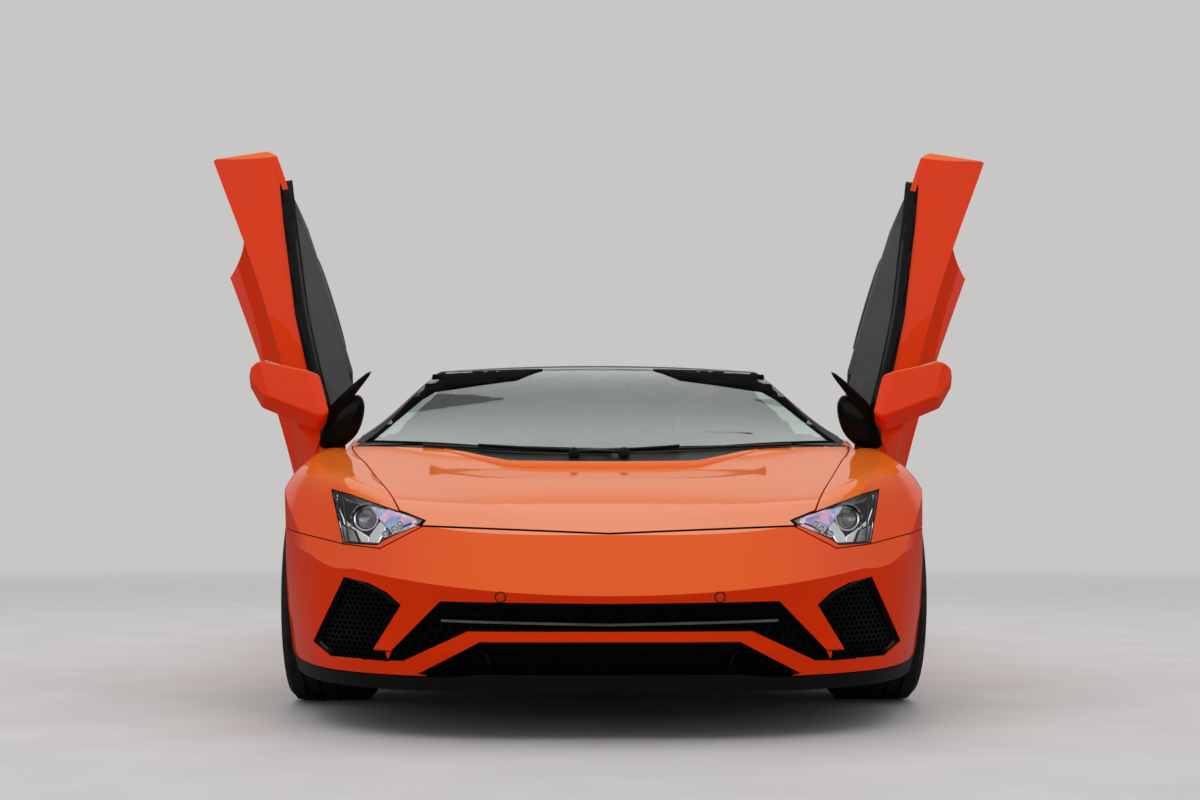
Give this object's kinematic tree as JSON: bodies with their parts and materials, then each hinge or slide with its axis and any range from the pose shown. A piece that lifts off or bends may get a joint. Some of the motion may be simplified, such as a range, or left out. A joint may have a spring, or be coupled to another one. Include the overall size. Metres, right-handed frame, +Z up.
{
  "type": "mid-engined supercar with open scissor doors",
  "caption": "Low two-seat mid-engined supercar with upward-swinging scissor doors standing open, faceted nose and wide haunches.",
  "frame": {"origin": "on the ground under the middle of the car's length and width", "axes": "the nose points to -Y, +X is the car's left side, +Z is up"},
  "size_m": [2.6922, 4.8025, 1.8419],
  "materials": {
    "paint": "gloss",
    "black_gloss": "gloss",
    "black_plastic": "matte",
    "glass": "clear",
    "lens": "clear",
    "lamp": "gloss",
    "red_lens": "gloss",
    "carbon": "satin",
    "steel": "satin",
    "aluminium": "satin",
    "alcantara": "matte",
    "tyre": "matte",
    "rim": "gloss",
    "caliper": "gloss"
  },
  "bodies": {
    "body": {"front_bumper": "paint", "fenders": "paint", "cowl": "black_plastic", "front_splitter": "black_plastic", "front_grilles": "black_plastic", "roof_frame": "black_gloss", "windshield": "glass", "roof_panel": "black_gloss", "rear_window": "glass", "quarters": "paint", "rear_spoiler": "paint", "rear_bumper": "paint", "tail_lights": "red_lens", "rear_grille": "black_plastic", "diffuser": "black_plastic", "side_skirts": "paint", "side_intakes": "black_plastic", "headlights": "lamp", "headlight_lenses": "lens", "tub": "carbon", "wheel_liners": "black_plastic", "luggage_tub": "black_plastic", "undertray": "black_plastic", "rear_uprights": "aluminium", "front_suspension": "steel", "rear_suspension": "steel", "front_frame": "aluminium", "rear_frame": "aluminium", "dashboard": "alcantara", "seats": "alcantara", "steering_wheel": "alcantara", "engine_block": "aluminium", "wipers": "black_plastic", "exhaust": "steel"},
    "hood": {"hood": "paint"},
    "engine_cover": {"engine_cover": "paint", "engine_slats": "black_plastic"},
    "door_left": {"door_left": "paint", "door_trim_left": "alcantara", "mirror_left": "paint", "door_sail_left": "black_plastic"},
    "knuckle_front_left": {"knuckle_front_left": "aluminium"},
    "wheel_front_left": {"tyre_front_left": "tyre", "rim_front_left": "rim", "brake_disc_front_left": "steel"},
    "wheel_rear_left": {"tyre_rear_left": "tyre", "rim_rear_left": "rim", "brake_disc_rear_left": "steel"},
    "door_right": {"door_right": "paint", "door_trim_right": "alcantara", "mirror_right": "paint", "door_sail_right": "black_plastic"},
    "knuckle_front_right": {"knuckle_front_right": "aluminium"},
    "wheel_front_right": {"tyre_front_right": "tyre", "rim_front_right": "rim", "brake_disc_front_right": "steel"},
    "wheel_rear_right": {"tyre_rear_right": "tyre", "rim_rear_right": "rim", "brake_disc_rear_right": "steel"}
  },
  "joints": [
    {"name": "door_left", "type": "hinge", "parent": "body", "child": "door_left", "pos_m": [0.86, -0.8385, 0.68], "axis": [0.9438, 0, -0.3305], "range_deg": [-71, 0]},
    {"name": "door_right", "type": "hinge", "parent": "body", "child": "door_right", "pos_m": [-0.86, -0.8385, 0.68], "axis": [0.9438, 0, 0.3305], "range_deg": [-71, 0]},
    {"name": "hood", "type": "hinge", "parent": "body", "child": "hood", "pos_m": [0, -0.9065, 0.77868], "axis": [-1, 0, 0], "range_deg": [0, 60]},
    {"name": "engine_cover", "type": "hinge", "parent": "body", "child": "engine_cover", "pos_m": [0, 0.6365, 1.0601], "axis": [1, 0, 0], "range_deg": [0, 45]},
    {"name": "steer_left", "type": "hinge", "parent": "body", "child": "knuckle_front_left", "pos_m": [0.805, -1.2685, 0.3305], "axis": [0, 0, 1], "range_deg": [-30, 30]},
    {"name": "spin_front_left", "type": "hinge", "parent": "knuckle_front_left", "child": "wheel_front_left", "pos_m": [0.825, -1.2685, 0.3305], "axis": [1, 0, 0], "continuous": true},
    {"name": "spin_rear_left", "type": "hinge", "parent": "body", "child": "wheel_rear_left", "pos_m": [0.835, 1.4315, 0.3555], "axis": [1, 0, 0], "continuous": true},
    {"name": "steer_right", "type": "hinge", "parent": "body", "child": "knuckle_front_right", "pos_m": [-0.805, -1.2685, 0.3305], "axis": [0, 0, 1], "range_deg": [-30, 30]},
    {"name": "spin_front_right", "type": "hinge", "parent": "knuckle_front_right", "child": "wheel_front_right", "pos_m": [-0.825, -1.2685, 0.3305], "axis": [1, 0, 0], "continuous": true},
    {"name": "spin_rear_right", "type": "hinge", "parent": "body", "child": "wheel_rear_right", "pos_m": [-0.835, 1.4315, 0.3555], "axis": [1, 0, 0], "continuous": true}
  ],
  "couplings": [
    {"joint": "steer_right", "follows": "steer_left", "ratio": 1}
  ]
}
